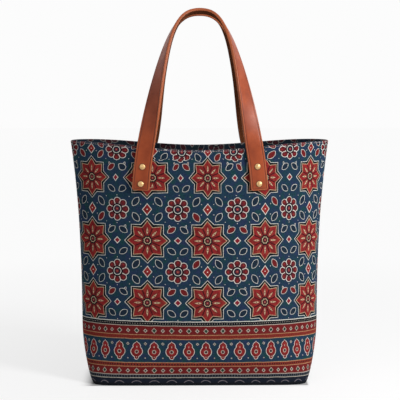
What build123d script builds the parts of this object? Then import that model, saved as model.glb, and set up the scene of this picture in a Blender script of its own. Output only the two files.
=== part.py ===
from build123d import *
from math import atan, atan2, cos, pi, radians, sin, tan
import os

# Tote bag of printed canvas with two riveted leather strap handles.
# Millimetres, +Z up. The origin is on the floor at the centre of the base, +X runs along the
# width and the front panel faces -Y.

# Body: outside sizes of the standing bag
body_height = 358.5  # floor to the rim at the side seams
rim_sag = 11.0  # how far the rim dips between the side seams
rim_width = 381.0
rim_depth = 112.0
body_width = 352.0
body_depth = 110.0
base_width = 317.0  # footprint on the floor
base_depth = 98.0
cloth_thickness = 1.6
hem_margin = 10.0  # the turned hem reaches this far below the strap ends

# Body: how the level sections change over the height
base_turn_share = 0.25  # share of the height over which the wall turns up from the base
base_turn_power = 0.8
flare_start_share = 0.25  # share of the height from which the wall widens to the rim
flare_power = 2.5
base_squareness = 8.0  # exponent of the section's superellipse: a soft rectangle
rim_squareness = 2.1  # close to an ellipse
squareness_power = 16.0
section_height_shares = (0, 0.008, 0.025, 0.06, 0.12, 0.2, 0.32, 0.46, 0.6, 0.72, 0.82, 0.91, 1, 1.04)
section_points = 40
rim_points = 13

# Handles: leather straps
strap_width = 25.4
strap_thickness = 4.5
strap_edge_radius = 1.1
strap_corner_radius = 3.0
strap_overlap = 62.0  # strap below the rim
strap_spread = 156.0  # between the legs' centre lines at the rim
strap_lean_degrees = 10.0  # inward lean of the legs at the rim
strap_end_lean_degrees = 3.5
handle_rise = 202.0  # lowest point of the rim to the top of the arch
handle_top_gap = 38.0  # between the centre lines of the two arches
leg_pull_share = 0.82  # reach of the arch curve's lower pull, as a share of the rise
arch_pull_share = 0.48  # reach of its upper pull, as a share of the half spread
twist_power = 3.0
seat_sections = 5
arch_sections = 12

# Rivets: a row on each strap end
rivets_per_end = 2
rivet_spacing = 25.0
rivet_end_distance = 9.5
rivet_head_diameter = 8.2
rivet_head_height = 2.3
rivet_rim_height = 0.7
rivet_shank_diameter = 4.2
rivet_pin_diameter = 2.4
rivet_cap_floor = 1.0  # metal between the head's underside and the shank's bore

# Seam binding: the bound seam allowance inside the bag
binding_width = 9.0
binding_thickness = 2.4

# Fits
seat_clearance = 0.25  # strap to cloth, rivet head to what it sits on, binding to cloth
hole_clearance = 0.15  # round each rivet shank
pin_clearance = 0.1  # round each rivet pin
overrun = 5.0

rim_half = rim_width / 2
half_spread = strap_spread / 2
hem_depth = strap_overlap + hem_margin


def wall_sizes(height):
    """Half width, half depth and squareness of the outer wall at a height."""
    height_share = height / body_height
    turn = min(height_share / base_turn_share, 1)
    turned_share = (1 - (1 - turn) ** 2) ** base_turn_power
    flare = max((height_share - flare_start_share) / (1 - flare_start_share), 0)
    flared_share = flare**flare_power
    width = base_width + (body_width - base_width) * turned_share + (rim_width - body_width) * flared_share
    depth = base_depth + (body_depth - base_depth) * turned_share + (rim_depth - body_depth) * flared_share
    square_share = max(1 - height_share, 0) ** squareness_power
    squareness = rim_squareness + (base_squareness - rim_squareness) * square_share
    return width / 2, depth / 2, squareness


def wall_section(height, inset):
    """Level section of the wall, a superellipse that starts at the middle of the back."""
    half_width, half_depth, squareness = wall_sizes(height)
    points = []
    for i in range(section_points):
        turn = pi / 2 + 2 * pi * i / section_points
        reach = (abs(cos(turn)) ** squareness + abs(sin(turn)) ** squareness) ** (-1 / squareness)
        points.append(((half_width - inset) * reach * cos(turn), (half_depth - inset) * reach * sin(turn)))
    with BuildSketch(Plane.XY.offset(height)) as section:
        with BuildLine():
            Spline(*points, periodic=True)
        make_face()
    return section.sketch


def rim_height(x):
    """Height of the rim over a point of the width: level at the side seams, lowest midway."""
    return body_height - rim_sag * (1 + cos(pi * x / rim_half)) / 2


def above_rim(drop):
    """Front view of everything above the rim's curve lowered by a drop."""
    widest, _, _ = wall_sizes(section_height_shares[-1] * body_height)
    side = widest + overrun
    top = 2 * body_height
    places = [rim_half * (2 * i / (rim_points - 1) - 1) for i in range(rim_points)]
    with BuildSketch(Plane.XZ) as zone:
        with BuildLine():
            rim = Spline(*[(x, rim_height(x) - drop) for x in places], tangents=((1, 0), (1, 0)))
            Polyline(rim @ 1, (side, (rim @ 1).Y), (side, top), (-side, top), (-side, (rim @ 0).Y), rim @ 0)
        make_face()
    return zone.sketch


# A handle's centre line runs up the panel from the strap end, then arches to the middle plane
rim_lean = tan(radians(strap_lean_degrees))
end_lean = tan(radians(strap_end_lean_degrees))
seat_top = rim_height(half_spread)
seat_bottom = seat_top - strap_overlap
arch_top = body_height - rim_sag + handle_rise - strap_thickness / 2
strap_standoff = seat_clearance + strap_thickness / 2


def seat_frame(height, standoff):
    """Point, width direction and outward direction on the front panel under the right leg."""
    half_width, half_depth, squareness = wall_sizes(height)
    below = seat_top - height
    x = half_spread + rim_lean * below - (rim_lean - end_lean) * below**2 / (2 * strap_overlap)
    across_share = x / half_width
    depth_share = (1 - across_share**squareness) ** (1 / squareness)
    slope = half_depth / half_width * (across_share / depth_share) ** (squareness - 1)
    along = Vector(cos(atan(slope)), sin(atan(slope)), 0)
    outward = Vector(along.Y, -along.X, 0)
    return Vector(x, -half_depth * depth_share, height) + outward * standoff, along, outward


def square_to(direction, tangent):
    """The direction turned square to a tangent."""
    return (direction - tangent * direction.dot(tangent)).normalized()


def strap_frames():
    """Point, width direction and tangent of each section of the right half, end to top."""
    frames = []
    seat_step = strap_overlap / seat_sections
    for i in range(seat_sections + 1):
        height = seat_bottom + i * seat_step
        point, along, _ = seat_frame(height, strap_standoff)
        above, _, _ = seat_frame(height + seat_step, strap_standoff)
        tangent = (above - point).normalized()
        frames.append((point, square_to(along, tangent), tangent))

    start, along, start_tangent = frames[-1]
    top = Vector(0, -handle_top_gap / 2, arch_top)
    low_pull = start + start_tangent * (leg_pull_share * handle_rise)
    high_pull = top + Vector(arch_pull_share * half_spread, 0, 0)
    start_turn = atan2(along.Y, along.X)
    quarter_turn = pi / 2
    arch_lean = atan2(top.Y - start.Y, top.Z - start.Z)
    for i in range(1, arch_sections + 1):
        t = i / arch_sections
        s = 1 - t
        point = start * s**3 + low_pull * (3 * s**2 * t) + high_pull * (3 * s * t**2) + top * t**3
        slope = (low_pull - start) * s**2 + (high_pull - low_pull) * (2 * s * t) + (top - high_pull) * t**2
        tangent = slope.normalized()
        twist = start_turn + (quarter_turn - start_turn) * (1 - s**twist_power)
        across = square_to(Vector(0, cos(arch_lean * t), -sin(arch_lean * t)), tangent)
        out = across.cross(tangent)
        frames.append((point, out * cos(twist) + across * sin(twist), tangent))
    return frames


def mirrored(frame):
    """The same section on the left half, passed in the opposite sense."""
    point, along, tangent = frame
    return (
        Vector(-point.X, point.Y, point.Z),
        Vector(-along.X, along.Y, along.Z),
        Vector(tangent.X, -tangent.Y, -tangent.Z),
    )


def strap_section(frame):
    """Cross-section of the strap, with eased edges."""
    point, along, tangent = frame
    with BuildSketch(Plane(origin=point, x_dir=along, z_dir=tangent)) as section:
        RectangleRounded(strap_width, strap_thickness, strap_edge_radius)
    return section.sketch


def both_legs(planes):
    """Planes of the right leg, each followed by its mirror image on the left leg."""
    result = []
    for plane in planes:
        origin, x_dir, z_dir = plane.origin, plane.x_dir, plane.z_dir
        result.append(plane)
        result.append(
            Plane(
                origin=(-origin.X, origin.Y, origin.Z),
                x_dir=(x_dir.X, -x_dir.Y, -x_dir.Z),
                z_dir=(-z_dir.X, z_dir.Y, z_dir.Z),
            )
        )
    return result


def rivet_planes(standoff):
    """Planes square to the front panel's rivets, a distance out from the cloth."""
    planes = []
    for i in range(rivets_per_end):
        height = seat_bottom + rivet_end_distance + i * rivet_spacing
        point, along, outward = seat_frame(height, standoff)
        planes.append(Plane(origin=point, x_dir=along, z_dir=outward))
    return both_legs(planes)


cloth_stack = 2 * cloth_thickness
cap_seat = strap_thickness + 2 * seat_clearance
post_seat = cloth_stack + seat_clearance
shank_length = cap_seat + cloth_stack
hole_radius = rivet_shank_diameter / 2 + hole_clearance
hole_reach = 2 * (shank_length + overrun)

# Inside space: full width below the hem, narrower by the hem's layer above it
inside_span = body_height - cloth_thickness
inside_heights = [cloth_thickness + share * inside_span for share in section_height_shares]
inside_sections = [wall_section(height, cloth_thickness) for height in inside_heights]
hem_sections = [wall_section(height, cloth_stack) for height in inside_heights if height > body_height / 2]
with BuildPart() as inside:
    loft(inside_sections)
    extrude(above_rim(hem_depth), amount=rim_depth, both=True, mode=Mode.SUBTRACT)
    loft(hem_sections)

# Front panel: half of the wall and base, with the rim cut to its curve and holes for the rivets
section_heights = [share * body_height for share in section_height_shares]
outside_sections = [wall_section(height, 0) for height in section_heights]
with BuildPart() as front_panel:
    loft(outside_sections)
    add(inside.part, mode=Mode.SUBTRACT)
    extrude(above_rim(0), amount=rim_depth, both=True, mode=Mode.SUBTRACT)
    split(bisect_by=Plane.XZ, keep=Keep.TOP)
    with Locations(*rivet_planes(0)):
        Cylinder(hole_radius, hole_reach, mode=Mode.SUBTRACT)

with BuildPart() as back_panel:
    mirror(front_panel.part, about=Plane.XZ)

# Front handle: a strap that lies flat on the panel and turns a quarter over in each leg
right_frames = strap_frames()
left_frames = [mirrored(frame) for frame in reversed(right_frames[:-1])]
strap_sections = [strap_section(frame) for frame in right_frames + left_frames]
end_point, end_along, end_tangent = right_frames[0]
end_plane = Plane(origin=end_point, x_dir=end_along, z_dir=end_along.cross(end_tangent))
strap_half = strap_width / 2
corner_inside = strap_half - strap_corner_radius
corner_outside = strap_half + overrun
with BuildPart() as front_handle:
    loft(strap_sections)
    for plane in both_legs([end_plane]):
        with BuildSketch(plane):
            with BuildLine():
                RadiusArc((corner_inside, 0), (strap_half, strap_corner_radius), -strap_corner_radius)
                Polyline(
                    (strap_half, strap_corner_radius),
                    (corner_outside, strap_corner_radius),
                    (corner_outside, -overrun),
                    (corner_inside, -overrun),
                    (corner_inside, 0),
                )
            make_face()
            mirror(about=Plane.YZ)
        extrude(amount=strap_thickness, both=True, mode=Mode.SUBTRACT)
    with Locations(*rivet_planes(0)):
        Cylinder(hole_radius, hole_reach, mode=Mode.SUBTRACT)

with BuildPart() as back_handle:
    mirror(front_handle.part, about=Plane.XZ)

# Rivet caps: a domed head on a hollow shank
head_radius = rivet_head_diameter / 2
shank_radius = rivet_shank_diameter / 2
pin_radius = rivet_pin_diameter / 2
bore_radius = pin_radius + pin_clearance
with BuildPart() as cap:
    with BuildSketch(Plane.XZ):
        with BuildLine():
            dome = TangentArc((0, rivet_head_height), (head_radius, rivet_rim_height), tangent=(1, 0))
            Polyline(
                dome @ 1,
                (head_radius, 0),
                (shank_radius, 0),
                (shank_radius, -shank_length),
                (bore_radius, -shank_length),
                (bore_radius, -rivet_cap_floor),
                (0, -rivet_cap_floor),
                dome @ 0,
            )
        make_face()
    revolve(axis=Axis.Z)

with BuildPart() as rivet_caps:
    with Locations(*rivet_planes(cap_seat)):
        add(cap.part)
    mirror(about=Plane.XZ)

# Rivet posts: a domed inner head with the pin that the shank is pressed over
pin_length = shank_length - rivet_cap_floor
with BuildPart() as post:
    with BuildSketch(Plane.XZ):
        with BuildLine():
            dome = TangentArc((0, -rivet_head_height), (head_radius, -rivet_rim_height), tangent=(1, 0))
            Polyline(
                dome @ 1,
                (head_radius, 0),
                (pin_radius, 0),
                (pin_radius, pin_length),
                (0, pin_length),
                dome @ 0,
            )
        make_face()
    revolve(axis=Axis.Z)

with BuildPart() as rivet_posts:
    with Locations(*rivet_planes(-post_seat)):
        add(post.part)
    mirror(about=Plane.XZ)


def binding_curve(inset):
    """Points of the inside of the right wall in the middle plane, moved in and up by the inset."""
    reach = cloth_thickness + inset
    return [(wall_sizes(height)[0] - reach, height + reach) for height in section_heights]


# Seam binding: a flat tape on edge down both side seams and along the base
with BuildPart() as seam_binding:
    with BuildSketch(Plane.XZ):
        with BuildLine():
            outer = Spline(*binding_curve(seat_clearance))
            inner = Spline(*binding_curve(seat_clearance + binding_width))
            Line(outer @ 1, inner @ 1)
            Polyline(inner @ 0, (0, (inner @ 0).Y), (0, (outer @ 0).Y), outer @ 0)
        make_face()
    extrude(amount=binding_thickness / 2, both=True)
    extrude(above_rim(hem_depth + seat_clearance), amount=binding_thickness, both=True, mode=Mode.SUBTRACT)
    mirror(about=Plane.YZ)

front_panel.part.label = "front_panel"
back_panel.part.label = "back_panel"
front_handle.part.label = "front_handle"
back_handle.part.label = "back_handle"
rivet_caps.part.label = "rivet_caps"
rivet_posts.part.label = "rivet_posts"
seam_binding.part.label = "seam_binding"

os.makedirs("parts", exist_ok=True)
for piece in (front_panel, back_panel, front_handle, back_handle, rivet_caps, rivet_posts, seam_binding):
    export_step(piece.part, f"parts/{piece.part.label}.step")
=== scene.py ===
import math

import bmesh
import bpy
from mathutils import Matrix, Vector, noise


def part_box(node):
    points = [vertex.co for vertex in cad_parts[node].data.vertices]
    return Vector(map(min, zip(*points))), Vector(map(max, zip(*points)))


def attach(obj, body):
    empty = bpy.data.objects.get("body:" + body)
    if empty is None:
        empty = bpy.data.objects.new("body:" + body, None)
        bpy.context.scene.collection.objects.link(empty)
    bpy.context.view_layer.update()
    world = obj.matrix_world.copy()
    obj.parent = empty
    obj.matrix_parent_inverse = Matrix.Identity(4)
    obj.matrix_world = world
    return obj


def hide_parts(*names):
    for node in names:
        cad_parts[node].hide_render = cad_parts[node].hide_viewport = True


# Looks of a printed canvas tote bag with riveted leather handles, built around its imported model

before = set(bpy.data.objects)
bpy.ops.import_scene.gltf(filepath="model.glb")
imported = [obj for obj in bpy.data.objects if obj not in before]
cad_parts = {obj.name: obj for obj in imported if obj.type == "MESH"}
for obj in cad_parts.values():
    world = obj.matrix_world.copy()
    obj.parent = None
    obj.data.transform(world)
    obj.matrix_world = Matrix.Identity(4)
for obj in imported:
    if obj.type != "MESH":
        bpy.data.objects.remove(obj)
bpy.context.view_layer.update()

# Sizes in metres: the outer ones come from the frame, the rest follow the part's own values
panel_low, panel_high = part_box("front_panel")
body_height = panel_high[2]
rim_half = panel_high[0]
rim_width = 2 * rim_half
rim_depth = -2 * panel_low[1]
rim_sag = 0.011
body_width = 0.352
body_depth = 0.110
base_width = 0.317
base_depth = 0.098
base_turn_share = 0.25
base_turn_power = 0.8
flare_start_share = 0.25
flare_power = 2.5
base_squareness = 8.0
rim_squareness = 2.1
squareness_power = 16.0
cloth_thickness = 0.0016
hem_depth = 0.072

strap_width = 0.0254
strap_thickness = 0.0045
strap_edge_radius = 0.0011
strap_corner_radius = 0.003
strap_overlap = 0.062
half_spread = 0.078
rim_lean = math.tan(math.radians(10))
end_lean = math.tan(math.radians(3.5))
handle_rise = 0.202
handle_top_gap = 0.038
leg_pull_share = 0.82
arch_pull_share = 0.48
twist_power = 3.0
seat_clearance = 0.00025
rivet_spacing = 0.025
rivet_end_distance = 0.0095
rivet_head_radius = 0.0041

MM_PER_M = 1000


# Shader numbers and paint

class Value:
    """A number that varies over a surface: sums of values become Math nodes."""

    def __init__(self, tree, socket):
        self.tree = tree
        self.socket = socket

    def math(self, operation, *others, clamp=False):
        node = self.tree.nodes.new("ShaderNodeMath")
        node.operation = operation
        node.use_clamp = clamp
        for slot, value in zip(node.inputs, (self, *others)):
            if isinstance(value, Value):
                self.tree.links.new(value.socket, slot)
            else:
                slot.default_value = value
        return Value(self.tree, node.outputs[0])

    def __add__(self, other):
        return self.math("ADD", other)

    def __sub__(self, other):
        return self.math("SUBTRACT", other)

    def __rsub__(self, other):
        return self.scaled(-1, other)

    def __mul__(self, other):
        return self.math("MULTIPLY", other)

    def __abs__(self):
        return self.math("ABSOLUTE")

    def folded(self, pitch):
        """Distance from the nearest multiple of a pitch."""
        return self.math("PINGPONG", pitch / 2)

    def scaled(self, gain, start, clamp=False):
        """The value times a gain, plus a start."""
        return self.math("MULTIPLY_ADD", gain, start, clamp=clamp)

    def share(self, gain, start):
        """The same, kept between 0 and 1."""
        return self.scaled(gain, start, clamp=True)

    def low(self, other):
        return self.math("MINIMUM", other)

    def high(self, other):
        return self.math("MAXIMUM", other)


def reach(x, y):
    """Distance from the point where both values are nought."""
    return (x * x + y * y).math("SQRT")


def turned(x, y, degrees):
    """Both values along axes that are turned anticlockwise."""
    c = math.cos(math.radians(degrees))
    s = math.sin(math.radians(degrees))
    return x * c + y * s, y * c - x * s


edge_blur = 0.25


def inside(distance):
    """1 where a distance is below nought, with a slightly soft printed edge."""
    return distance.share(-1 / edge_blur, 0.5)


def line(distance, width):
    """1 on a line of a width where a distance is nought."""
    return inside(abs(distance) - width / 2)


def colour(red, green, blue):
    """Linear colour of an sRGB one from 0 to 255."""
    def linear(c):
        c /= 255
        return c / 12.92 if c <= 0.04045 else ((c + 0.055) / 1.055) ** 2.4
    return (linear(red), linear(green), linear(blue), 1)


class Paint:
    """Colours laid over each other by masks."""

    def __init__(self, tree, ground):
        self.tree = tree
        self.ground = ground

    def disc(self, tint, x, y, radius):
        self.lay(tint, inside(reach(x, y) - radius))

    def lay(self, tint, mask):
        mix = self.tree.nodes.new("ShaderNodeMix")
        mix.data_type = "RGBA"
        sockets = (mix.inputs[0], mix.inputs[6], mix.inputs[7])
        for slot, value in zip(sockets, (mask, self.ground, tint)):
            if isinstance(value, Value):
                self.tree.links.new(value.socket, slot)
            elif isinstance(value, bpy.types.NodeSocket):
                self.tree.links.new(value, slot)
            else:
                slot.default_value = value
        self.ground = mix.outputs[2]
        return self


def new_node(tree, kind, **settings):
    """Node with its settings and the values of its inputs."""
    node = tree.nodes.new(kind)
    for name, value in settings.items():
        if hasattr(node, name):
            setattr(node, name, value)
        else:
            node.inputs[name.replace("_", " ")].default_value = value
    return node


# Block print, in millimetres over the cloth

NAVY = colour(33, 57, 79)
TEAL = colour(28, 66, 70)
INDIGO = colour(41, 52, 87)
INK = colour(18, 22, 28)
DUSK = colour(28, 38, 52)
SHADE = colour(29, 44, 60)
NIGHT = colour(25, 31, 44)
CREAM = colour(234, 231, 222)
GOLD = colour(188, 148, 108)
LIGHT = colour(194, 184, 170)
RED = colour(150, 40, 43)
CRIMSON = colour(140, 36, 50)
RUST = colour(172, 80, 54)
BRICK = colour(116, 33, 35)
WINE = colour(98, 34, 40)
GREEN = colour(36, 66, 52)
FADED = colour(74, 80, 88)
SPEAR = colour(206, 182, 148)
PALE_PRINT_AND_HIGHLIGHT = colour(150, 140, 146)
ORANGE = colour(134, 50, 40)

print_scale = 1.006
print_drop = 2.1
star_pitch_x = 87.0
star_pitch_y = 92.2
star_column = 11.0
star_row = 122.8
star_half = 23.4
half_root = math.sqrt(0.5)


def folded_eight(x, y):
    """Along and across the nearest of eight rays from the middle of a motif."""
    longer = x.high(y)
    shorter = x.low(y)
    along = longer.high((longer + shorter) * half_root)
    across = shorter.low((longer - shorter) * half_root)
    return along, across


def from_gap(along, across):
    """Distance from the line midway between two rays."""
    return along * math.sin(math.pi / 8) - across * math.cos(math.pi / 8)


def lay_star(paint, x, y, red):
    """Two crossed squares as nested outlines round eight petals, each with a spear."""
    flattening = 0.97
    outline = 0.72
    petal_slope, petal_fall, petal_reach = 0.78, 0.62, 18.0
    petal_outline = 0.8
    gap_shade, gap_line = 1.2, 0.45
    spear_start, spear_widening = 8.6, 0.4
    spear_end, spear_narrowing = 19.5, 0.26
    spear_half, spear_shade = 1.25, 0.9
    seed_place, seed_radius = 13.6, 0.85
    ring, ring_width, ring_waist, ring_lobe = 4.5, 1.0, 0.9, 0.5
    disc, hub, eye = 7.2, 2.2, 0.6

    y = y * flattening
    along, across = folded_eight(x, y)
    gap = from_gap(along, across)
    radius = reach(along, across)
    rim = x.high(y).low((x + y) * half_root)
    paint.lay(CREAM, inside(rim - star_half))
    paint.lay(INK, inside(rim - (star_half - outline)))
    petal = across * petal_slope + along * petal_fall - petal_reach
    paint.lay(SPEAR, inside(petal))
    paint.lay(red, inside(petal + petal_outline))
    paint.lay(BRICK, inside(gap - gap_shade) * inside(petal + petal_outline))
    paint.lay(INK, inside(gap - gap_line) * inside(petal + 2 * petal_outline))
    widening = (along - spear_start) * spear_widening
    narrowing = (spear_end - along) * spear_narrowing
    spear = across - widening.low(narrowing).low(spear_half)
    paint.lay(BRICK, inside(spear - spear_shade))
    paint.lay(SPEAR, inside(spear))
    paint.disc(BRICK, along - seed_place, across, seed_radius)
    paint.lay(INK, inside(radius - disc))
    paint.lay(SPEAR, line(radius - ring - (across - ring_waist) * ring_lobe, ring_width))
    paint.lay(CRIMSON, inside(radius - hub))
    paint.lay(SPEAR, inside(radius - eye))


def lay_rosette(paint, x, y, red):
    """Eight round petals that overlap, round a ringed eye."""
    ground = 13
    petal_place, petal_radius = 12.2, 5.45
    petal_outline, petal_gap = 0.85, 0.5
    core_place, core_radius, core_gap = 13.2, 1.5, 0.9
    rings = ((8.4, INK), (6.0, CREAM), (5.1, DUSK), (2.4, CRIMSON), (0.7, GOLD))

    along, across = folded_eight(x, y)
    gap = from_gap(along, across)
    radius = reach(along, across)
    petal = reach(along - petal_place, across) - petal_radius
    core = reach(along - core_place, across) - core_radius
    paint.lay(INK, inside(radius - ground))
    paint.lay(CREAM, inside(petal))
    paint.lay(WINE, inside((petal + petal_outline).high(petal_gap - gap)))
    paint.lay(red, inside(core.high(core_gap - gap)))
    for size, tint in rings:
        paint.lay(tint, inside(radius - size))


def lay_diamond(paint, x, y, half_x, half_y, fill, outline, dot=0, tint=CREAM):
    """Outlined diamond, with a dot in its middle where the dot has a size."""
    size = 1 / math.hypot(1 / half_x, 1 / half_y)
    edge = (x * (1 / half_x) + y * (1 / half_y)).scaled(size, -size)
    paint.lay(tint, inside(edge))
    paint.lay(fill, inside(edge + outline))
    if dot:
        paint.disc(CREAM, x, y, dot)


leaf_outline = 0.62


def lay_leaf(paint, x, y, lean, half_length, half_width, fill, where=1.0):
    """Outlined leaf between two arcs that meet at its tips."""
    along, across = turned(x, y, lean)
    bow = (half_length**2 - half_width**2) / (2 * half_width)
    edge = reach(along, abs(across) + bow) - (bow + half_width)
    paint.lay(CREAM, inside(edge) * where)
    paint.lay(fill, inside(edge + leaf_outline) * where)


top_row = star_row + 2 * star_pitch_y
top_drop = 4.0
top_sag = 4.8
top_flatness = 0.16
top_star_scale = 0.92


def upper_row_drift(u, v):
    """How far the hand-laid upper row has crept towards its middle star, beside and under the straps."""
    slow_creep, fast_creep, fast_from, most_creep = 0.093, 0.43, 31, 8
    hidden_right, hidden_left_less, hidden_left_gain = 88, 10, 22
    hidden_from, hidden_slope = 290, 0.25
    tip_from, tip_rise, tip_to, tip_fall, most_tip = 100, 0.5, 144, 0.15, 4.9
    tip_half, tip_fade = 16, 0.15
    star_half_row, row_fade = 27, 0.3
    rosette_creep, far_creep, far_start, rosettes_from = 0.16, 0.085, 2.8, 332
    left_end, left_fade = 98, 0.45
    right_end, right_fade = 122, 0.25

    from_middle = u - star_column
    left = from_middle.math("LESS_THAN", 0)
    away = abs(from_middle)
    from_row = abs(v - top_row)
    risen = v.share(hidden_slope, -hidden_slope * hidden_from)
    hidden_to = left * (risen * hidden_left_gain - hidden_left_less) + hidden_right
    creep = (away * slow_creep).high((away - fast_from) * fast_creep).low(most_creep)
    creep = creep.low((hidden_to - away) * left_fade).high(0)
    tip = ((away - tip_from) * tip_rise).low((tip_to - away) * tip_fall).low(most_tip).high(0)
    tip = tip * left * (tip_half - from_row).share(tip_fade, 0)
    stars = (creep - tip) * (star_half_row - from_row).share(row_fade, 0)
    under_strap = (left_end - away) * left_fade * left
    under_strap = under_strap.high((right_end - away) * right_fade * (1 - left)).high(0)
    rosettes = (away * rosette_creep).low(away * far_creep + far_start).low(under_strap)
    rosettes = rosettes * (v - rosettes_from).share(row_fade, 0)
    return from_middle.math("SIGN") * (stars + rosettes)


def cell_chance(tree, u, v):
    """A chance from 0 to 1 for each quarter of a lattice cell."""
    quarter = new_node(tree, "ShaderNodeCombineXYZ")
    for slot, value, pitch, start in ((0, u, star_pitch_x, star_column), (1, v, star_pitch_y, star_row)):
        index = ((value - start) * (2 / pitch)).math("FLOOR")
        tree.links.new(index.socket, quarter.inputs[slot])
    chance = new_node(tree, "ShaderNodeTexWhiteNoise", noise_dimensions="3D")
    tree.links.new(quarter.outputs[0], chance.inputs["Vector"])
    return Value(tree, chance.outputs["Value"])


red_leaf_above = 0.82
red_leaf_gain = 0.45
red_bud_below = 0.5
leaf_x, leaf_y, rim_leaf_lift = 16.4, 11.4, 2.8
bud_x, bud_y = 9.0, 15.8
twig_x, twig_y = 11.4, 20.0
field_dots = (
    (9.0, 38.5, 0.6), (25.5, 27.5, 0.55), (29.5, 43.5, 0.55), (star_pitch_x / 2, 25.5, 0.6),
)


def lay_field(paint, u, v, tree, red):
    """Stars in a lattice, with rosettes, diamonds and leaves between them."""
    u = u + upper_row_drift(u, v)
    x = (u - star_column).folded(star_pitch_x)
    y = (v - star_row).folded(star_pitch_y)
    near_rim = v.math("GREATER_THAN", top_row)
    dip = (u * (math.pi / (rim_half * MM_PER_M))).math("COSINE")
    dip = dip.scaled(top_sag / 2, top_sag / 2)
    dropped = near_rim * (dip + top_drop) + v
    from_side = star_pitch_x / 2 - x
    from_top = star_pitch_y / 2 - (dropped - star_row).folded(star_pitch_y)
    from_top = from_top * near_rim.scaled(top_flatness, 1.0)

    # Some leaves come out red, more of them near the rim
    chance = cell_chance(tree, u, v)
    reddened = near_rim.scaled(red_leaf_gain, chance).math("GREATER_THAN", red_leaf_above)
    leaf_fill = Paint(tree, SHADE).lay(BRICK, reddened).ground
    bud_above = ((v - star_row) * (1 / star_pitch_y)).math("FRACT").math("LESS_THAN", 0.5)
    red_bud = bud_above * chance.math("LESS_THAN", red_bud_below)
    bud_fill = Paint(tree, SHADE).lay(BRICK, red_bud).ground

    for dot_x, dot_y, size in field_dots:
        paint.disc(CREAM, x - dot_x, y - dot_y, size)
    lifted = from_top + near_rim * rim_leaf_lift - leaf_y
    lay_leaf(paint, x - leaf_x, lifted, lean=-56, half_length=8.0, half_width=4.7, fill=leaf_fill)
    lay_leaf(
        paint, from_side - twig_x, y - twig_y,
        lean=70, half_length=3.4, half_width=1.6, fill=bud_fill, where=bud_above,
    )
    lay_leaf(paint, from_side - bud_x, y - bud_y, lean=-36, half_length=7.2, half_width=4.4, fill=bud_fill)
    lay_diamond(paint, x, from_top, half_x=7.0, half_y=9.2, fill=red, outline=0.9, dot=0.9)
    lay_diamond(paint, from_side, y, half_x=5.3, half_y=5.5, fill=CRIMSON, outline=0.95)
    upper = v.math("GREATER_THAN", top_row - star_pitch_y / 2)
    shrink = upper.scaled(1 / top_star_scale - 1, 1.0)
    lay_star(paint, x * shrink, y * shrink, red)
    lay_rosette(paint, from_side, from_top, red)


border_top = 95.4
drop_pitch = 25.0
drop_column = 8.6


def lay_diamond_row(paint, u, v, height):
    """Small diamonds, by turns green with a thin outline and pale with a dark eye."""
    x = (u - drop_column).folded(drop_pitch)
    y = abs(v - height)
    lay_diamond(paint, x, y, half_x=3.9, half_y=4.1, fill=GREEN, outline=0.85, tint=LIGHT)
    lay_diamond(paint, drop_pitch / 2 - x, y, half_x=3.1, half_y=3.2, fill=INK, outline=1.1, tint=LIGHT)


def lay_drops(paint, u, v, red):
    """Row of lobed drops with small diamonds and dots between them."""
    belly_height, belly_half_x, belly_half_y = 49.8, 8.8, 9.2
    belly_power, belly_scale = 1.8, 4.4
    lobe_height, lobe_radius = 58.0, 5.7
    point_height, point_slope = 65.4, 1.15
    foot_height, foot_radius = 41.0, 3.4
    outline = 0.7
    inner_line, inner_width = 2.1, 0.9
    ring_height = 49.3
    rings = ((2.9, LIGHT), (1.9, INK), (0.7, CRIMSON))
    seed_height, seed_stretch, foot_seed_height, seed_radius = 56.6, 0.5, 41.6, 0.7
    diamond_height, dot_height, dot_radius = 61.4, 40.0, 0.9

    x = (u - drop_column).folded(drop_pitch)
    belly_x = (x * (1 / belly_half_x)).math("POWER", belly_power)
    belly_y = (abs(v - belly_height) * (1 / belly_half_y)).math("POWER", belly_power)
    belly = (belly_x + belly_y).scaled(belly_scale, -belly_scale)
    lobe = reach(x, v - lobe_height) - lobe_radius
    point = (x * point_slope + (v - point_height)).high(lobe_height - v)
    foot = reach(x, v - foot_height) - foot_radius
    edge = belly.low(lobe).low(point).low(foot)
    paint.lay(CREAM, inside(edge))
    paint.lay(red, inside(edge + outline))
    paint.lay(BRICK, line(edge + inner_line, inner_width))
    from_ring = reach(x, v - ring_height)
    for size, tint in rings:
        paint.lay(tint, inside(from_ring - size))
    paint.disc(LIGHT, x, (v - seed_height) * seed_stretch, seed_radius)
    paint.disc(LIGHT, x, v - foot_seed_height, seed_radius)
    between = drop_pitch / 2 - x
    y = abs(v - diamond_height)
    lay_diamond(paint, between, y, half_x=2.3, half_y=2.4, fill=DUSK, outline=0.9, tint=LIGHT)
    paint.disc(LIGHT, between, v - dot_height, dot_radius)


# Border: lower and upper edge of each band, the dots' height, pitch and radius, the lines' height and width
# The lowest band, darkest ink from the base up to 2.6 mm, is painted shade along the bottom edge of the bag.
border_bands = (
    (88.4, 95.4, INK), (74.8, 88.4, BRICK), (68.7, 74.8, ORANGE), (27.6, 33.4, ORANGE),
    (15.4, 27.6, BRICK), (10.2, 15.4, FADED), (2.6, 10.2, NIGHT), (-70, 2.6, INK),
)
border_dots = (
    (91.7, 3.6, 0.5, LIGHT), (71.7, 3.6, 0.9, BRICK), (30.4, 4.1, 1.1, INK), (12.8, 4.1, 1.5, INK),
)
border_lines = (
    (94.9, 1.2, CREAM), (88.5, 1.0, LIGHT), (74.8, 0.8, GOLD), (68.7, 0.9, GOLD), (33.3, 0.9, GOLD),
    (27.5, 0.8, GOLD), (15.5, 0.9, LIGHT), (10.2, 0.9, LIGHT),
)
diamond_rows = (81.0, 21.2)
scallop_below = 3.4
scallop_radius = 9.0
scallop_width = 1.1
scallop_from = 2.4
scallop_share = 0.6


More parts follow.
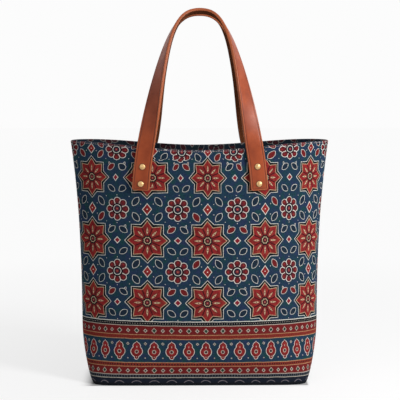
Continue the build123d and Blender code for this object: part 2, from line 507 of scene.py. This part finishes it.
def lay_border(paint, u, v, red):
    """Bands of the border, from its upper line down to the base."""
    for low, high, tint in border_bands:
        paint.lay(tint, line(v - (low + high) / 2, high - low))
    for height, pitch, size, tint in border_dots:
        paint.disc(tint, u.folded(pitch), v - height, size)
    for height in diamond_rows:
        lay_diamond_row(paint, u, v, height)
    lay_drops(paint, u, v, red)
    scallop = reach((u - drop_column).folded(drop_pitch), v + scallop_below) - scallop_radius
    paint.lay(PALE_PRINT_AND_HIGHLIGHT, line(scallop, scallop_width) * inside(scallop_from - v) * scallop_share)
    for height, width, tint in border_lines:
        paint.lay(tint, line(v - height, width))


def first_two(tree, place):
    """First and second value of a place."""
    split = new_node(tree, "ShaderNodeSeparateXYZ")
    tree.links.new(place, split.inputs[0])
    return Value(tree, split.outputs["X"]), Value(tree, split.outputs["Y"])


def noise_over(tree, place, scale, detail):
    """Noise texture over a flat map of the surface."""
    texture = new_node(tree, "ShaderNodeTexNoise", noise_dimensions="2D", Scale=scale, Detail=detail)
    tree.links.new(place, texture.inputs["Vector"])
    return texture


def three_noises(tree, place, scale, detail):
    """Three separate noises over a flat map of the surface."""
    split = new_node(tree, "ShaderNodeSeparateColor")
    tree.links.new(noise_over(tree, place, scale, detail).outputs["Color"], split.inputs[0])
    return [Value(tree, output) for output in split.outputs]


waver_scale = 60.0
waver_width = 1.1
dye_scale = 95.0
dye_gain = 4.5
weave_pitch = 0.75
weave_depth = 0.07
slub_scale = 520.0
slub_gain = 1.3
slub_start = 0.35


def block_print():
    """Node group that gives the print's colour from the cloth's own coordinates."""
    tree = bpy.data.node_groups.new("block_print", "ShaderNodeTree")
    tree.interface.new_socket("Color", in_out="OUTPUT", socket_type="NodeSocketColor")
    tree.interface.new_socket("Weave", in_out="OUTPUT", socket_type="NodeSocketFloat")
    place = new_node(tree, "ShaderNodeUVMap", uv_map="cloth").outputs[0]
    u, v = first_two(tree, place)

    # A hand-laid print wavers a little from its grid
    waver_u, waver_v, _ = three_noises(tree, place, waver_scale, 1.0)
    u = waver_u.scaled(waver_width, u * (print_scale * MM_PER_M)) - waver_width / 2
    v = v * (print_scale * MM_PER_M) - print_drop
    v = waver_v.scaled(waver_width, v) - waver_width / 2

    # Ground colour drifts between navy, teal and indigo as dye does, and the red between its own shades
    first_dye, second_dye, third_dye = three_noises(tree, place, dye_scale, 2.0)
    teal_share = first_dye.share(dye_gain, -2.1)
    indigo_share = second_dye.share(dye_gain, -2.2)
    rust_share = third_dye.share(dye_gain, -2.1)
    ground = Paint(tree, NAVY).lay(TEAL, teal_share).lay(INDIGO, indigo_share * 0.8).ground
    red = Paint(tree, RED).lay(RUST, rust_share * 0.3).lay(BRICK, teal_share * 0.7).ground

    field = Paint(tree, ground)
    lay_field(field, u, v, tree, red)
    border = Paint(tree, ground)
    lay_border(border, u, v, red)
    whole = Paint(tree, field.ground).lay(border.ground, inside(v - border_top))

    # Canvas weave: crossed threads, with uneven ink on them
    warp = (u * (2 * math.pi / weave_pitch)).math("SINE")
    weft = (v * (2 * math.pi / weave_pitch)).math("SINE")
    weave = warp * weft
    slub = Value(tree, noise_over(tree, place, slub_scale, 3.0).outputs["Fac"])
    fade = weave.scaled(weave_depth, slub.scaled(slub_gain, slub_start))
    tone = new_node(tree, "ShaderNodeVectorMath", operation="SCALE")
    tree.links.new(whole.ground, tone.inputs[0])
    tree.links.new(fade.socket, tone.inputs["Scale"])

    out = tree.nodes.new("NodeGroupOutput")
    tree.links.new(tone.outputs[0], out.inputs["Color"])
    tree.links.new((weave + slub).socket, out.inputs["Weave"])
    return tree


# Materials

REVERSE = colour(40, 54, 74)
LEATHER = colour(170, 76, 36)
LEATHER_CLOUD = colour(142, 58, 24)
LEATHER_EDGE = colour(176, 94, 56)
LEATHER_CREASE_AND_SHADE = colour(84, 34, 18)
FLESH = colour(98, 53, 32)
FLESH_PALE = colour(130, 77, 48)
BRASS = colour(216, 180, 128)
BRASS_TARNISH = colour(176, 134, 88)
THREAD = colour(150, 128, 132)
THREAD_PALE = colour(186, 166, 166)
TAPE = colour(36, 44, 62)
TAPE_RIB = colour(58, 68, 90)


def new_material(name, roughness, metallic=0.0, specular=0.5):
    """Material with its node tree and its shader."""
    material = bpy.data.materials.new(name)
    material.use_nodes = True
    tree = material.node_tree
    shader = tree.nodes["Principled BSDF"]
    shader.inputs["Roughness"].default_value = roughness
    shader.inputs["Metallic"].default_value = metallic
    shader.inputs["Specular IOR Level"].default_value = specular
    return material, tree, shader


def dress(tree, shader, tone, height, strength, distance):
    """Base colour and fine relief of a surface."""
    tree.links.new(tone.ground, shader.inputs["Base Color"])
    bump = new_node(tree, "ShaderNodeBump", Strength=strength, Distance=distance)
    tree.links.new(height, bump.inputs["Height"])
    tree.links.new(bump.outputs[0], shader.inputs["Normal"])


def printed_canvas(print_group):
    """Face of the cloth, with a painted highlight along the top of the rolled rim and painted shade on the
    print inside the hem.
    """
    material, tree, shader = new_material("printed_canvas", 0.88, specular=0.12)
    group = new_node(tree, "ShaderNodeGroup", node_tree=print_group)
    fold_highlight = Value(tree, new_node(tree, "ShaderNodeAttribute", attribute_name="fold_highlight").outputs["Fac"])
    hem = Value(tree, new_node(tree, "ShaderNodeAttribute", attribute_name="hem").outputs["Fac"])
    tone = Paint(tree, group.outputs["Color"])
    # Painted shade: the print inside the hem is darkened towards ink
    tone.lay(INK, hem * 0.78)
    # Painted highlight: the print is paler along the top of the rolled rim
    tone.lay(PALE_PRINT_AND_HIGHLIGHT, fold_highlight.share(2.0, -1.2) * 0.5)
    dress(tree, shader, tone, group.outputs["Weave"], 0.35, 0.0002)
    return material


def canvas_reverse(print_group):
    """Back of the cloth: the ground colour, with a ghost of the print come through."""
    material, tree, shader = new_material("canvas_reverse", 0.92)
    group = new_node(tree, "ShaderNodeGroup", node_tree=print_group)
    ghost = Paint(tree, REVERSE).lay(group.outputs["Color"], 0.3)
    dress(tree, shader, ghost, group.outputs["Weave"], 0.5, 0.0003)
    return material


# Leather marks and the painted shade ring round each rivet head, in millimetres over the strap
edge_stain = 1.4
crease_line = 2.7
crease_line_width = 0.9
rivet_shade_beyond = 0.5
rivet_shade_width = 1.4


def leather():
    """Grain side of the straps: stained edges, a creased line inside them and a ring of painted shade round
    each rivet head.
    """
    material, tree, shader = new_material("leather", 0.5, specular=0.34)
    place = new_node(tree, "ShaderNodeUVMap", uv_map="strap").outputs[0]
    across, along = first_two(tree, place)
    across = abs(across) * MM_PER_M
    along = along * MM_PER_M
    from_edge = (strap_width / 2 * MM_PER_M - across).low(along)

    cloud = Value(tree, noise_over(tree, place, 45.0, 4.0).outputs["Fac"])
    pores = new_node(tree, "ShaderNodeTexVoronoi", voronoi_dimensions="2D", Scale=1300.0)
    tree.links.new(place, pores.inputs["Vector"])
    tone = Paint(tree, LEATHER)
    tone.lay(LEATHER_CLOUD, cloud.share(2.4, -0.8))
    tone.lay(LEATHER_EDGE, inside(from_edge - edge_stain))
    tone.lay(LEATHER_CREASE_AND_SHADE, line(from_edge - crease_line, crease_line_width) * 0.85)
    half_spacing = rivet_spacing * MM_PER_M / 2
    from_rivet = abs(along - rivet_end_distance * MM_PER_M - half_spacing) - half_spacing
    rivet_shade = reach(across, from_rivet) - rivet_head_radius * MM_PER_M - rivet_shade_beyond
    # Painted shade: a dark ring round each rivet head
    tone.lay(LEATHER_CREASE_AND_SHADE, line(rivet_shade, rivet_shade_width) * 0.55)
    grain = Value(tree, pores.outputs["Distance"]).scaled(0.6, cloud * 0.4)
    dress(tree, shader, tone, grain.socket, 0.18, 0.0003)
    tree.links.new(cloud.scaled(0.2, 0.33).socket, shader.inputs["Roughness"])
    return material


def flesh_side():
    """Back of the leather: matt, darker and fibrous."""
    material, tree, shader = new_material("leather_flesh_side", 1.0, specular=0.03)
    place = new_node(tree, "ShaderNodeUVMap", uv_map="strap").outputs[0]
    fibre = Value(tree, noise_over(tree, place, 700.0, 4.0).outputs["Fac"])
    tone = Paint(tree, FLESH).lay(FLESH_PALE, fibre.share(2.5, -0.8))
    dress(tree, shader, tone, fibre.socket, 0.5, 0.0003)
    return material


def brass():
    """Polished brass with a thin tarnish."""
    material, tree, shader = new_material("aged_brass", 0.32, metallic=1.0)
    place = new_node(tree, "ShaderNodeTexCoord")
    texture = new_node(tree, "ShaderNodeTexNoise", Scale=420.0, Detail=3.0)
    tree.links.new(place.outputs["Object"], texture.inputs["Vector"])
    tarnish = Value(tree, texture.outputs["Fac"])
    tone = Paint(tree, BRASS).lay(BRASS_TARNISH, tarnish.share(3.0, -1.2))
    dress(tree, shader, tone, tarnish.socket, 0.1, 0.0002)
    tree.links.new(tarnish.scaled(0.3, 0.32).socket, shader.inputs["Roughness"])
    return material


def slanted_stripes(name, roughness, ground, stripe, scale, distortion, strength, distance):
    """Fine slanted ribs, as on twisted thread or twill."""
    material, tree, shader = new_material(name, roughness)
    place = new_node(tree, "ShaderNodeTexCoord")
    rib = new_node(tree, "ShaderNodeTexWave", bands_direction="DIAGONAL", Scale=scale, Distortion=distortion)
    tree.links.new(place.outputs["Object"], rib.inputs["Vector"])
    tone = Paint(tree, ground).lay(stripe, Value(tree, rib.outputs["Fac"]))
    dress(tree, shader, tone, rib.outputs["Fac"], strength, distance)
    return material


def sewing_thread():
    return slanted_stripes("sewing_thread", 0.8, THREAD, THREAD_PALE, 900.0, 0.0, 0.4, 0.0001)


def twill_tape():
    return slanted_stripes("twill_tape", 0.9, TAPE, TAPE_RIB, 420.0, 0.6, 0.5, 0.0003)


# Bag body

def clamped(value):
    return min(max(value, 0), 1)


def wall_sizes(height):
    """Half width, half depth and squareness of the outer section at a height."""
    height_share = height / body_height
    turn = min(max(height_share, 0) / base_turn_share, 1)
    turned_share = (1 - (1 - turn) ** 2) ** base_turn_power
    flare = max((height_share - flare_start_share) / (1 - flare_start_share), 0)
    flared_share = flare**flare_power

    def half(base, body, rim):
        return (base + (body - base) * turned_share + (rim - body) * flared_share) / 2

    square_share = max(1 - height_share, 0) ** squareness_power
    squareness = rim_squareness + (base_squareness - rim_squareness) * square_share
    return half(base_width, body_width, rim_width), half(base_depth, body_depth, rim_depth), squareness


def rim_height(x):
    """Height of the rim over a point of the width: highest at the side seams, lowest midway."""
    return body_height - rim_sag * (1 + math.cos(math.pi * x / rim_half)) / 2


def unit_section(angle, squareness):
    """Point of a superellipse with half sides of 1."""
    c = math.cos(angle)
    s = math.sin(angle)
    size = (abs(c) ** squareness + abs(s) ** squareness) ** (-1 / squareness)
    return size * c, size * s


section_samples = 720


def even_angles(height, count):
    """Angles from the left seam round the front to the right seam at even steps, and half the length."""
    half_width, half_depth, squareness = wall_sizes(height)
    angles = [math.pi + math.pi * i / section_samples for i in range(section_samples + 1)]
    points = [Vector(unit_section(angle, squareness)) for angle in angles]
    points = [Vector((half_width * p.x, half_depth * p.y)) for p in points]
    lengths = [0]
    for first, second in zip(points, points[1:]):
        lengths.append(lengths[-1] + (second - first).length)
    result = []
    i = 0
    for k in range(count + 1):
        target = lengths[-1] * k / count
        while i < section_samples - 1 and lengths[i + 1] < target:
            i += 1
        part = (target - lengths[i]) / (lengths[i + 1] - lengths[i])
        result.append(angles[i] + (angles[i + 1] - angles[i]) * part)
    return result, lengths[-1] / 2


panel_columns = 150
base_rows = 8
foot_rows = 10
foot_share = 0.08
foot_power = 1.4
wall_rows = 66
roll_steps = 6
hem_edge = 0.0015
merge_distance = 1e-6
seam_share = 0.975
seam_dip = 0.0009

# Waviness of the cloth: its depth, where it dies away, and each wave's rate across and up, seed and share
slack_depth = 0.0016
slack_rise_power = 0.6
slack_side_share = 0.97
slack_side_power = 6
slack_strap_x = 0.084
slack_strap_half = 0.016
slack_strap_fade = 0.02
slack_strap_from = 0.265
slack_strap_rise = 0.03
slack_waves = ((9, 6, 3.1, 1), (22, 13, 7.7, 0.5))


def slack(x, z):
    """Gentle waviness of the standing cloth, dying away towards rim, seams, base and straps."""
    free = math.sin(math.pi * clamped(z / body_height)) ** slack_rise_power
    free *= max(1 - (abs(x) / (rim_half * slack_side_share)) ** slack_side_power, 0)
    from_strap = max(abs(abs(x) - slack_strap_x) - slack_strap_half, 0)
    strap = max(0, 1 - from_strap / slack_strap_fade)
    free *= 1 - strap * clamped((z - slack_strap_from) / slack_strap_rise)
    wave = 0
    for across, up, seed, share in slack_waves:
        wave += share * noise.noise(Vector((x * across, z * up, seed)))
    return slack_depth * free * wave


def panel_point(angle, height, inset, share):
    """Point of the front panel, a distance in from its face, with the dip along each seam."""
    half_width, half_depth, squareness = wall_sizes(height)
    x, y = unit_section(angle, squareness)
    seam = max((abs(share) - seam_share) / (1 - seam_share), 0)
    inset = inset + seam_dip * seam**2 - slack(half_width * x, height)
    return Vector(((half_width - inset) * x, (half_depth - inset) * y, height))


# How the front's print departs from an even spread along the cloth, in metres from the panel's middle
right_from = 0.06
right_closing = 1.7
spread_from = -0.03
spread_rise = 0.037
spread_to = -0.15
spread_fall = 0.121
left_closing = 0.12
low_left_from = -0.13
low_left_closing = 4.5
field_from = 0.09
field_fade = 0.025


def print_place(arc, height, side):
    """Place along the print: on the front it spreads left of the middle and closes up at both sides."""
    u = arc * side
    if side < 0:
        return u
    if u > right_from:
        u += right_closing * (u - right_from) ** 2
    spread = min(spread_rise * (spread_from - arc), spread_fall * (arc - spread_to))
    in_field = clamped((height - field_from) / field_fade)
    u += max(spread, 0) + min(left_closing * (arc - spread_to), 0) * in_field
    if u < low_left_from:
        u -= low_left_closing * (u - low_left_from) ** 2 * (1 - in_field)
    return u


stitch_pitch = 0.0036
stitch_length = 0.0027
stitch_radius = 0.00042
stitch_below = 0.0021
stitch_sides = 6
stitch_profile = ((-0.5, 0.45), (-0.25, 0.95), (0.25, 0.95), (0.5, 0.45))
stitch_material = 2
ahead_angle = 0.01
ahead_x = 0.001


def add_stitch(mesh, side, centre, along):
    """One short thread, thinner at both ends."""
    out = Vector((along.y, -along.x, 0)).normalized()
    up = along.cross(out)
    rings = []
    for step, width in stitch_profile:
        ring = []
        for j in range(stitch_sides):
            turn = 2 * math.pi * j / stitch_sides
            offset = (out * math.cos(turn) + up * math.sin(turn)) * (stitch_radius * width)
            point = centre + along * (stitch_length * step) + offset
            ring.append(mesh.verts.new((point.x, point.y * side, point.z)))
        rings.append(ring)
    faces = [mesh.faces.new(rings[0]), mesh.faces.new(rings[-1])]
    for first, second in zip(rings, rings[1:]):
        for j in range(stitch_sides):
            after = (j + 1) % stitch_sides
            faces.append(mesh.faces.new((first[j], first[after], second[after], second[j])))
    for face in faces:
        face.material_index = stitch_material
        face.smooth = True


def add_stitches(mesh, side, angles, half, rim):
    """Row of pale thread along the rim, left out under the straps and at the seams."""
    count = round(2 * half / stitch_pitch)
    for i in range(count):
        place = (i + 0.5) / count * panel_columns
        k = int(place)
        part = place - k
        angle = angles[k] + (angles[k + 1] - angles[k]) * part
        top = rim[k] + (rim[k + 1] - rim[k]) * part
        share = 2 * place / panel_columns - 1
        centre = panel_point(angle, top - stitch_below, 0, share)
        by_strap = abs(abs(centre.x) - half_spread) < strap_width / 2 + stitch_length
        if by_strap or abs(share) > seam_share:
            continue
        ahead_top = rim_height(centre.x + ahead_x)
        ahead = panel_point(angle + ahead_angle, ahead_top - stitch_below, 0, share)
        add_stitch(mesh, side, centre, (ahead - centre).normalized())


def add_object(name, data):
    thing = bpy.data.objects.new(name, data)
    bpy.context.scene.collection.objects.link(thing)
    return thing


def make_piece(name, mesh, materials):
    """Object of a finished mesh."""
    bmesh.ops.recalc_face_normals(mesh, faces=mesh.faces)
    data = bpy.data.meshes.new(name)
    mesh.to_mesh(data)
    mesh.free()
    for material in materials:
        data.materials.append(material)
    return add_object(name, data)


def base_layers(shares):
    """Rows of half the base, from its middle out, outside and inside."""
    outer, inner = [], []
    angles, half = even_angles(0, panel_columns)
    for i in range(base_rows):
        part = i / base_rows
        for rows, height, inset in ((outer, 0, 0), (inner, cloth_thickness, cloth_thickness)):
            row = []
            for angle, share in zip(angles, shares):
                edge = panel_point(angle, height, inset, 0)
                point = Vector((edge.x, edge.y * part, edge.z))
                row.append((point, share * half, edge.y * (1 - part), 0, 0))
            rows.append(row)
    return outer, inner


def wall_layers(shares, wall_shares, rim):
    """Rows of the wall, from the base up, outside and inside. The inside is set in by the hem's layer too."""
    outer, inner = [], []
    for wall_share in wall_shares:
        angles, half = even_angles(wall_share * body_height, panel_columns)
        out_row, in_row = [], []
        for k, (angle, share) in enumerate(zip(angles, shares)):
            height = wall_share * (rim[k] - cloth_thickness)
            below = rim[k] - height
            hem = clamped((hem_depth - below) / hem_edge)
            out_row.append((panel_point(angle, height, 0, share), share * half, height, 0, 0))
            inset = cloth_thickness * (1 + hem)
            inner_height = max(height, cloth_thickness)
            printed = rim[k] + below if hem > 0.5 else height
            # The last value, 1 on the inside, is the share of painted shade on the printed hem
            in_row.append((panel_point(angle, inner_height, inset, share), share * half, printed, 0, 1))
        outer.append(out_row)
        inner.append(in_row)
    return outer, inner


def roll_rows(shares, angles, half, rim):
    """Rows over the rolled rim, from the outside in."""
    rows = []
    for i in range(1, roll_steps):
        turn = math.pi * i / roll_steps
        inset = cloth_thickness * (1 - math.cos(turn))
        row = []
        for k, (angle, share) in enumerate(zip(angles, shares)):
            point = panel_point(angle, rim[k] - cloth_thickness, inset, share)
            point.z += cloth_thickness * math.sin(turn)
            printed = rim[k] + cloth_thickness * (turn - math.pi / 2)
            # The last two values are the shares of painted highlight, highest at the top of the roll, and of
            # painted shade, which grows towards the inside
            row.append((point, share * half, printed, math.sin(turn), i / roll_steps))
        rows.append(row)
    return rows


def build_panel(name, side, materials):
    """One panel as a closed sheet: half base, wall, turned rim, hem and reverse. side is 1 front, -1 back."""
    shares = [2 * k / panel_columns - 1 for k in range(panel_columns + 1)]
    wall_shares = [(i / foot_rows) ** foot_power * foot_share for i in range(foot_rows)]
    wall_shares += [foot_share + (1 - foot_share) * i / wall_rows for i in range(wall_rows + 1)]
    top_angles, top_half = even_angles(body_height, panel_columns)
    rim = [rim_height(panel_point(angle, body_height, 0, 0).x) for angle in top_angles]

    # Each place holds its point, the arc from the panel's middle, its height on the print, its share of the
    # painted highlight along the top of the rolled rim and its share of the painted shade inside the hem
    outer, inner = base_layers(shares)
    outer_wall, inner_wall = wall_layers(shares, wall_shares, rim)
    outer += outer_wall
    inner += inner_wall
    roll = roll_rows(shares, top_angles, top_half, rim)
    rows = outer + roll + inner[::-1]
    hem_from = len(outer) + len(roll) + sum(1 for w in wall_shares if (1 - w) * body_height < hem_depth)

    mesh = bmesh.new()
    uv_layer = mesh.loops.layers.uv.new("cloth")
    fold_highlight_layer = mesh.verts.layers.float.new("fold_highlight")
    hem_shade_layer = mesh.verts.layers.float.new("hem")
    verts = []
    for row in rows:
        row_verts = []
        for point, _, _, fold_highlight, hem in row:
            vert = mesh.verts.new((point.x, point.y * side, point.z))
            vert[fold_highlight_layer] = fold_highlight
            vert[hem_shade_layer] = hem
            row_verts.append(vert)
        verts.append(row_verts)

    def add_face(corners, material):
        face = mesh.faces.new([verts[r][c] for r, c in corners])
        face.material_index = material
        face.smooth = True
        for loop, (r, c) in zip(face.loops, corners):
            _, arc, height, _, _ = rows[r][c]
            loop[uv_layer].uv = (print_place(arc, height, side), height)

    last = len(rows) - 1
    for r in range(last):
        for c in range(panel_columns):
            add_face([(r, c), (r, c + 1), (r + 1, c + 1), (r + 1, c)], int(r >= hem_from))
    for c in range(panel_columns):
        add_face([(last, c), (last, c + 1), (0, c + 1), (0, c)], 1)
    for c in (0, panel_columns):
        for r in range(len(outer) - 1):
            add_face([(r, c), (r + 1, c), (last - r - 1, c), (last - r, c)], 1)
        add_face([(r, c) for r in range(len(outer) - 1, len(outer) + len(roll) + 1)], 0)
    bmesh.ops.remove_doubles(mesh, verts=mesh.verts, dist=merge_distance)
    bmesh.ops.dissolve_degenerate(mesh, edges=mesh.edges, dist=merge_distance)
    add_stitches(mesh, side, top_angles, top_half, rim)
    return make_piece(name, mesh, materials)


# Handles

seat_top = rim_height(half_spread)
seat_bottom = seat_top - strap_overlap
arch_top = body_height - rim_sag + handle_rise - strap_thickness / 2
strap_standoff = seat_clearance + strap_thickness / 2
seat_stations = 44
arch_stations = 110


def seat_frame(height, standoff):
    """Point, width direction and outward direction on the front panel under the right leg."""
    half_width, half_depth, squareness = wall_sizes(height)
    below = seat_top - height
    x = half_spread + rim_lean * below - (rim_lean - end_lean) * below**2 / (2 * strap_overlap)
    across_share = x / half_width
    depth_share = (1 - across_share**squareness) ** (1 / squareness)
    slope = half_depth / half_width * (across_share / depth_share) ** (squareness - 1)
    along = Vector((1, slope, 0)).normalized()
    outward = Vector((along.y, -along.x, 0))
    return Vector((x, -half_depth * depth_share, height)) + outward * standoff, along, outward


def square_to(direction, tangent):
    """The direction turned square to a tangent."""
    return (direction - tangent * direction.dot(tangent)).normalized()


def strap_frames():
    """Point, width direction and tangent of the stations of the right half, end to top."""
    frames = []
    step = strap_overlap / seat_stations
    for i in range(seat_stations + 1):
        height = seat_bottom + i * step
        point, along, _ = seat_frame(height, strap_standoff)
        above, _, _ = seat_frame(height + step, strap_standoff)
        tangent = (above - point).normalized()
        frames.append((point, square_to(along, tangent), tangent))
    start, along, start_tangent = frames[-1]
    top = Vector((0, -handle_top_gap / 2, arch_top))
    low_pull = start + start_tangent * (leg_pull_share * handle_rise)
    high_pull = top + Vector((arch_pull_share * half_spread, 0, 0))
    start_turn = math.atan2(along.y, along.x)
    arch_lean = math.atan2(top.y - start.y, top.z - start.z)
    for i in range(1, arch_stations + 1):
        t = i / arch_stations
        s = 1 - t
        point = start * s**3 + low_pull * (3 * s**2 * t) + high_pull * (3 * s * t**2) + top * t**3
        slope = (low_pull - start) * s**2 + (high_pull - low_pull) * (2 * s * t) + (top - high_pull) * t**2
        tangent = slope.normalized()
        twist = start_turn + (math.pi / 2 - start_turn) * (1 - s**twist_power)
        across = square_to(Vector((0, math.cos(arch_lean * t), -math.sin(arch_lean * t))), tangent)
        out = across.cross(tangent)
        frames.append((point, out * math.cos(twist) + across * math.sin(twist), tangent))
    return frames


def mirrored(station):
    """The same station on the left half, passed in the opposite sense."""
    point, along, tangent = station
    return (
        Vector((-point.x, point.y, point.z)),
        Vector((-along.x, along.y, along.z)),
        Vector((tangent.x, -tangent.y, -tangent.z)),
    )


crease_inset = 0.0027
crease_width = 0.0013
crease_depth = 0.0004
face_steps = 30
edge_steps = 4


def strap_outline():
    """Points across and through the strap, once round, with a creased line inside each long edge."""
    half = strap_width / 2
    thick = strap_thickness / 2
    flat = half - strap_edge_radius
    side = thick - strap_edge_radius
    points = []
    for i in range(face_steps + 1):
        across = -flat + 2 * flat * i / face_steps
        crease = 1 - abs(abs(across) - (half - crease_inset)) / crease_width
        points.append((across, thick - crease_depth * max(crease, 0)))
    corners = [math.radians(90 * i / edge_steps) for i in range(1, edge_steps)]
    for turn in corners:
        points.append((flat + strap_edge_radius * math.sin(turn), side + strap_edge_radius * math.cos(turn)))
    points.append((half, side))
    for turn in corners:
        points.append((flat + strap_edge_radius * math.cos(turn), -side - strap_edge_radius * math.sin(turn)))
    return points + [(-across, -through) for across, through in points]


# Hang of the straps, as heights and distances
back_pull = 0.003
back_pull_low = 0.325
back_pull_peak = 0.362
back_pull_high = 0.455
front_drop = 0.001
back_drop = 0.0031
drop_from = 0.49


def eased(value, start, end):
    """Share from 0 to 1 of the way between two values, slow at both ends."""
    t = clamped((value - start) / (end - start))
    return t * t * (3 - 2 * t)


def hang(station, side):
    """The straps give a little at the top, the back one more, and it also stands closer in above the rim."""
    point, along, tangent = station
    lean = eased(point.z, back_pull_low, back_pull_peak)
    lean *= 1 - eased(point.z, back_pull_peak, back_pull_high)
    pull = back_pull if side < 0 else 0
    drop = (back_drop if side < 0 else front_drop) * eased(point.z, drop_from, arch_top)
    moved = Vector((point.x - pull * lean, point.y, point.z - drop))
    return moved, along, tangent


flesh_share = 0.9


def build_handle(name, side, materials):
    """One strap from end to end, with rounded ends. side is 1 front, -1 back."""
    right = [hang(station, side) for station in strap_frames()]
    stations = right + [mirrored(s) for s in right[-2::-1]]
    outline = strap_outline()
    travel = [0]
    for first, second in zip(stations, stations[1:]):
        travel.append(travel[-1] + (second[0] - first[0]).length)
    whole = travel[-1]
    half = strap_width / 2

    mesh = bmesh.new()
    uv_layer = mesh.loops.layers.uv.new("strap")
    rings = []
    places = {}
    for (point, along, tangent), gone in zip(stations, travel):
        out = along.cross(tangent)
        from_end = min(gone, whole - gone)
        short = max(strap_corner_radius - from_end, 0)
        narrow = strap_corner_radius - math.sqrt(max(strap_corner_radius**2 - short**2, 0))
        scale = (half - narrow) / half
        ring = []
        for across, through in outline:
            place = point + along * (across * scale) + out * through
            vert = mesh.verts.new((place.x, place.y * side, place.z))
            places[vert] = (across, from_end)
            ring.append(vert)
        rings.append(ring)
    count = len(outline)
    flesh_below = -2 * flesh_share * (strap_thickness / 2 - crease_depth)
    for first, second in zip(rings, rings[1:]):
        for k in range(count):
            after = (k + 1) % count
            face = mesh.faces.new((first[k], first[after], second[after], second[k]))
            face.material_index = int(outline[k][1] + outline[after][1] < flesh_below)
    for ring in (rings[0], rings[-1]):
        mesh.faces.new(ring)
    for face in mesh.faces:
        face.smooth = len(face.verts) == 4
        for loop in face.loops:
            loop[uv_layer].uv = places[loop.vert]
    return make_piece(name, mesh, materials)


# Stage, light and camera

floor_half = 6.0
floor_drop = 0.0002
floor_tone = 0.62
floor_lit = 0.42
floor_white = 0.965
near_start = 0.7
near_fall = 0.6
near_least = 0.02
shade_reach = 0.022
shade_right = 6.0
shade_front = 9.0
backdrop = colour(252, 252, 252)
world_strength = 0.26


def seen_directly(tree):
    """1 for what the camera sees, also in a reflection or through glass."""
    path = new_node(tree, "ShaderNodeLightPath")
    seen = Value(tree, path.outputs["Is Camera Ray"])
    for ray in ("Is Glossy Ray", "Is Transmission Ray"):
        seen = seen.high(Value(tree, path.outputs[ray]))
    return seen


def mix_into(output, tree, share, first, second):
    """Link a mix of two shaders to an output."""
    mix = new_node(tree, "ShaderNodeMixShader")
    tree.links.new(share.socket, mix.inputs[0])
    tree.links.new(first.outputs[0], mix.inputs[1])
    tree.links.new(second.outputs[0], mix.inputs[2])
    tree.links.new(mix.outputs[0], tree.nodes[output].inputs["Surface"])


def floor_paper():
    """Pale paper that runs out into plain white away from the bag and keeps its shade round the base."""
    material, tree, shader = new_material("floor_paper", 0.9, specular=0.1)
    shader.inputs["Base Color"].default_value = (floor_tone, floor_tone, floor_tone, 1)
    x, y = first_two(tree, new_node(tree, "ShaderNodeNewGeometry").outputs["Position"])
    near = reach(x, y).scaled(-near_fall, near_start).high(near_least)
    far = 1 - near
    beside = ((x - base_width / 2) * shade_right).high(x * -1 - base_width / 2).high(0)
    before = ((abs(y) - base_depth / 2) * shade_front).high(0)
    shade = reach(beside, before).share(-1 / shade_reach, 1)
    lifted = far * (seen_directly(tree) * (1 - shade * shade))
    white = new_node(tree, "ShaderNodeEmission")
    lift = (near * -floor_lit + floor_white).math("DIVIDE", far)
    tree.links.new(lift.socket, white.inputs["Strength"])
    mix_into("Material Output", tree, lifted, shader, white)
    return material


def add_stage():
    corners = [(-1, -1), (1, -1), (1, 1), (-1, 1)]
    data = bpy.data.meshes.new("floor")
    data.from_pydata([(x * floor_half, y * floor_half, 0) for x, y in corners], [], [(0, 1, 2, 3)])
    data.materials.append(floor_paper())
    floor = add_object("floor", data)
    floor.location.z = -floor_drop


def add_world():
    world = bpy.data.worlds.new("studio")
    bpy.context.scene.world = world
    world.use_nodes = True
    tree = world.node_tree
    light = tree.nodes["Background"]
    light.inputs["Color"].default_value = (1, 1, 1, 1)
    light.inputs["Strength"].default_value = world_strength
    white = new_node(tree, "ShaderNodeBackground", Color=backdrop)
    mix_into("World Output", tree, seen_directly(tree), light, white)


lamp_target = (0, 0, 0.25)
key_place = (1.3, -0.95, 0.95)
key_size = 0.45
key_power = 24
fill_place = (-1.6, -1.2, 0.9)
fill_size = 1.2
fill_power = 2


def add_lamp(name, place, size, power):
    data = bpy.data.lights.new(name, "AREA")
    data.shape = "SQUARE"
    data.size = size
    data.energy = power
    lamp = add_object(name, data)
    lamp.location = place
    lamp.rotation_euler = (Vector(lamp_target) - Vector(place)).to_track_quat("-Z", "Y").to_euler()


focal_pixels = 1248.4
picture_pixels = 400
sensor_mm = 36.0
camera_distance = 1.842
camera_height = 0.4915
camera_down = math.radians(6.886)
camera_turn = math.radians(-0.78)
camera_shift = 0.0006  # sideways, in metres


def add_camera():
    data = bpy.data.cameras.new("camera")
    data.sensor_width = sensor_mm
    data.lens = sensor_mm * focal_pixels / picture_pixels
    camera = add_object("camera", data)
    reach_x = camera_distance * math.sin(camera_turn) + camera_shift
    camera.location = (reach_x, -camera_distance * math.cos(camera_turn), camera_height)
    camera.rotation_euler = (math.pi / 2 - camera_down, 0, camera_turn)
    bpy.context.scene.camera = camera


# Assembly

print_group = block_print()
cloth_materials = (printed_canvas(print_group), canvas_reverse(print_group), sewing_thread())
strap_materials = (leather(), flesh_side())
for name, side in (("front", 1), ("back", -1)):
    panel = build_panel(f"{name}_panel_cloth", side, cloth_materials)
    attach(panel, "root")
    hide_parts(f"{name}_panel")
    handle = build_handle(f"{name}_handle_strap", side, strap_materials)
    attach(handle, "root")
    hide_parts(f"{name}_handle")
for node, material in (("rivet_caps", brass()), ("rivet_posts", brass()), ("seam_binding", twill_tape())):
    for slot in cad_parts[node].material_slots:
        slot.material = material

add_stage()
add_world()
add_lamp("key", key_place, key_size, key_power)
add_lamp("fill", fill_place, fill_size, fill_power)
add_camera()
bpy.context.scene.view_settings.view_transform = "Standard"
